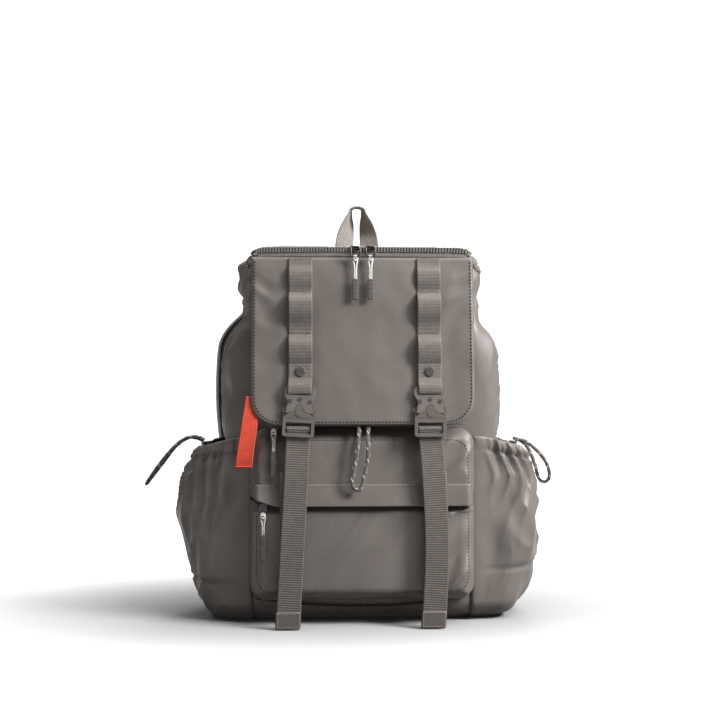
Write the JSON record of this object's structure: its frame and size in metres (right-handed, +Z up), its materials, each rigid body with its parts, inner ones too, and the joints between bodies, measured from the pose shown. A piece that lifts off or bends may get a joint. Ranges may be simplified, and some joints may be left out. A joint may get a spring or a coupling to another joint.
{
  "type": "daypack",
  "caption": "Free-standing top-loading daypack: front flap with two buckled straps, zipped lid, front pockets, gathered side pockets, haul handle and shoulder straps.",
  "frame": {"origin": "centre of the base panel's underside, where the bag stands", "axes": "+Z up, -Y the front with the flap and pockets, +X to the right seen from the front"},
  "size_m": [0.4542, 0.223, 0.4614],
  "materials": {
    "shell_nylon": "soft sheen woven nylon",
    "board": "matt",
    "lining": "plain weave",
    "mesh_padding": "padded nylon",
    "webbing": "ribbed webbing",
    "handle_webbing": "ribbed webbing",
    "ribbon": "satin ribbon",
    "cord": "braided with pale flecks",
    "pull_cord": "braided",
    "zip": "matt",
    "slider_metal": "satin",
    "pull_tab": "matt ribbed",
    "buckle_metal": "satin",
    "lock_plastic": "matt"
  },
  "bodies": {
    "root": {"base_panel": "shell_nylon", "base_board": "board", "floor_lining": "lining", "front_panel": "shell_nylon", "back_panel": "shell_nylon", "side_panel_left": "shell_nylon", "side_panel_right": "shell_nylon", "back_padding": "mesh_padding", "body_zip_tape": "zip", "body_zip_teeth": "zip", "front_pocket_upper": "shell_nylon", "front_pocket_lower": "shell_nylon", "pocket_storm_flap": "shell_nylon", "pocket_zips": "zip", "side_pocket_left": "shell_nylon", "side_pocket_right": "shell_nylon", "cord_eyelets": "slider_metal", "side_cord_left": "cord", "side_cord_right": "cord", "centre_cord": "cord", "anchor_webbings": "webbing"},
    "flap": {"main_flap": "shell_nylon", "upper_strap_left": "webbing", "upper_strap_right": "webbing", "snap_buttons": "slider_metal", "buckle_plate_left": "buckle_metal", "buckle_plate_right": "buckle_metal", "buckle_rivets": "slider_metal"},
    "lid": {"lid": "shell_nylon", "lid_zip_teeth": "zip"},
    "handle": {"haul_handle": "handle_webbing"},
    "tag": {"ribbon_tag": "ribbon"},
    "clip_left_outer": {"buckle_clip_left_outer": "buckle_metal"},
    "clip_left_inner": {"buckle_clip_left_inner": "buckle_metal"},
    "buckle_lower_left": {"buckle_frame_left": "buckle_metal", "buckle_bar_left": "buckle_metal"},
    "lower_strap_left": {"lower_strap_left": "webbing"},
    "top_slider_left": {"top_slider_left": "slider_metal"},
    "top_pull_left": {"top_pull_tab_left": "pull_tab", "top_pull_cord_left": "pull_cord"},
    "shoulder_strap_left": {"shoulder_strap_left": "mesh_padding", "ladder_lock_left": "lock_plastic", "strap_webbing_left": "webbing"},
    "clip_right_outer": {"buckle_clip_right_outer": "buckle_metal"},
    "clip_right_inner": {"buckle_clip_right_inner": "buckle_metal"},
    "buckle_lower_right": {"buckle_frame_right": "buckle_metal", "buckle_bar_right": "buckle_metal"},
    "lower_strap_right": {"lower_strap_right": "webbing"},
    "top_slider_right": {"top_slider_right": "slider_metal"},
    "top_pull_right": {"top_pull_tab_right": "pull_tab", "top_pull_cord_right": "pull_cord"},
    "shoulder_strap_right": {"shoulder_strap_right": "mesh_padding", "ladder_lock_right": "lock_plastic", "strap_webbing_right": "webbing"},
    "pocket_slider_upper": {"pocket_slider_upper": "slider_metal"},
    "pocket_pull_upper": {"pocket_pull_tab_upper": "pull_tab", "pocket_pull_cord_upper": "pull_cord"},
    "pocket_slider_lower": {"pocket_slider_lower": "slider_metal"},
    "pocket_pull_lower": {"pocket_pull_tab_lower": "pull_tab", "pocket_pull_cord_lower": "pull_cord"}
  },
  "joints": [
    {"name": "flap_open", "type": "hinge", "parent": "root", "child": "flap", "pos_m": [0, -0.0735, 0.3895], "axis": [-1, 0, 0], "range_deg": [0, 105]},
    {"name": "clip_left_outer_squeeze", "type": "hinge", "parent": "flap", "child": "clip_left_outer", "pos_m": [-0.0771, -0.0946, 0.23752], "axis": [0, -0.9945, 0.1045], "range_deg": [0, 6], "stiffness_Nm_per_rad": 0.05},
    {"name": "clip_left_inner_squeeze", "type": "hinge", "parent": "flap", "child": "clip_left_inner", "pos_m": [-0.05593, -0.09473, 0.23627], "axis": [0, 0.9945, -0.1045], "range_deg": [0, 6], "stiffness_Nm_per_rad": 0.05},
    {"name": "buckle_left_release", "type": "slide", "parent": "flap", "child": "buckle_lower_left", "axis": [-0.0593, -0.1043, -0.9928], "range_m": [0, 0.012]},
    {"name": "lower_strap_left_hang", "type": "hinge", "parent": "buckle_lower_left", "child": "lower_strap_left", "pos_m": [-0.06821, -0.09895, 0.20863], "axis": [0.9982, -0.0062, -0.059], "range_deg": [0, 105]},
    {"name": "top_slider_left_slide", "type": "slide", "parent": "root", "child": "top_slider_left", "axis": [-1, 0, 0], "range_m": [0, 0.095]},
    {"name": "top_pull_left_swing", "type": "hinge", "parent": "top_slider_left", "child": "top_pull_left", "pos_m": [-0.008, -0.0765, 0.3986], "axis": [-1, 0, 0], "range_deg": [0, 105]},
    {"name": "shoulder_strap_left_swing", "type": "hinge", "parent": "root", "child": "shoulder_strap_left", "pos_m": [-0.063, 0.079, 0.412], "axis": [1, 0, 0], "range_deg": [0, 12]},
    {"name": "clip_right_outer_squeeze", "type": "hinge", "parent": "flap", "child": "clip_right_outer", "pos_m": [0.0806, -0.09467, 0.23688], "axis": [0, 0.9945, -0.1045], "range_deg": [0, 6], "stiffness_Nm_per_rad": 0.05},
    {"name": "clip_right_inner_squeeze", "type": "hinge", "parent": "flap", "child": "clip_right_inner", "pos_m": [0.0594, -0.09467, 0.23688], "axis": [0, -0.9945, 0.1045], "range_deg": [0, 6], "stiffness_Nm_per_rad": 0.05},
    {"name": "buckle_right_release", "type": "slide", "parent": "flap", "child": "buckle_lower_right", "axis": [0, -0.1045, -0.9945], "range_m": [0, 0.012]},
    {"name": "lower_strap_right_hang", "type": "hinge", "parent": "buckle_lower_right", "child": "lower_strap_right", "pos_m": [0.07, -0.09895, 0.20857], "axis": [1, 0, 0], "range_deg": [0, 105]},
    {"name": "top_slider_right_slide", "type": "slide", "parent": "root", "child": "top_slider_right", "axis": [1, 0, 0], "range_m": [0, 0.095]},
    {"name": "top_pull_right_swing", "type": "hinge", "parent": "top_slider_right", "child": "top_pull_right", "pos_m": [0.008, -0.0765, 0.3986], "axis": [-1, 0, 0], "range_deg": [0, 105]},
    {"name": "shoulder_strap_right_swing", "type": "hinge", "parent": "root", "child": "shoulder_strap_right", "pos_m": [0.063, 0.079, 0.412], "axis": [1, 0, 0], "range_deg": [0, 12]},
    {"name": "lid_open", "type": "hinge", "parent": "root", "child": "lid", "pos_m": [0, 0.064, 0.4018], "axis": [-1, 0, 0], "range_deg": [0, 85]},
    {"name": "handle_fold", "type": "hinge", "parent": "root", "child": "handle", "pos_m": [0, 0.0737, 0.4], "axis": [-1, 0, 0], "range_deg": [0, 75], "stiffness_Nm_per_rad": 0.01},
    {"name": "tag_swing", "type": "hinge", "parent": "root", "child": "tag", "pos_m": [-0.115, -0.0856, 0.246], "axis": [0, -0.9972, 0.0748], "range_deg": [-12, 5], "stiffness_Nm_per_rad": 0.003},
    {"name": "pocket_slider_upper_slide", "type": "slide", "parent": "root", "child": "pocket_slider_upper", "axis": [1, 0, 0], "range_m": [0, 0.05]},
    {"name": "pocket_pull_upper_swing", "type": "hinge", "parent": "pocket_slider_upper", "child": "pocket_pull_upper", "pos_m": [-0.094, -0.0904, 0.211], "axis": [0, -0.9968, 0.0797], "range_deg": [-3, 20]},
    {"name": "pocket_slider_lower_slide", "type": "slide", "parent": "root", "child": "pocket_slider_lower", "axis": [1, 0, 0], "range_m": [0, 0.2]},
    {"name": "pocket_pull_lower_swing", "type": "hinge", "parent": "pocket_slider_lower", "child": "pocket_pull_lower", "pos_m": [-0.105, -0.0958, 0.1236], "axis": [0, -1, 0], "range_deg": [-12, 10]}
  ],
  "couplings": [
    {"joint": "top_pull_left_swing", "follows": "flap_open", "ratio": 1},
    {"joint": "lower_strap_left_hang", "follows": "flap_open", "ratio": 1},
    {"joint": "top_pull_right_swing", "follows": "flap_open", "ratio": 1},
    {"joint": "lower_strap_right_hang", "follows": "flap_open", "ratio": 1}
  ]
}
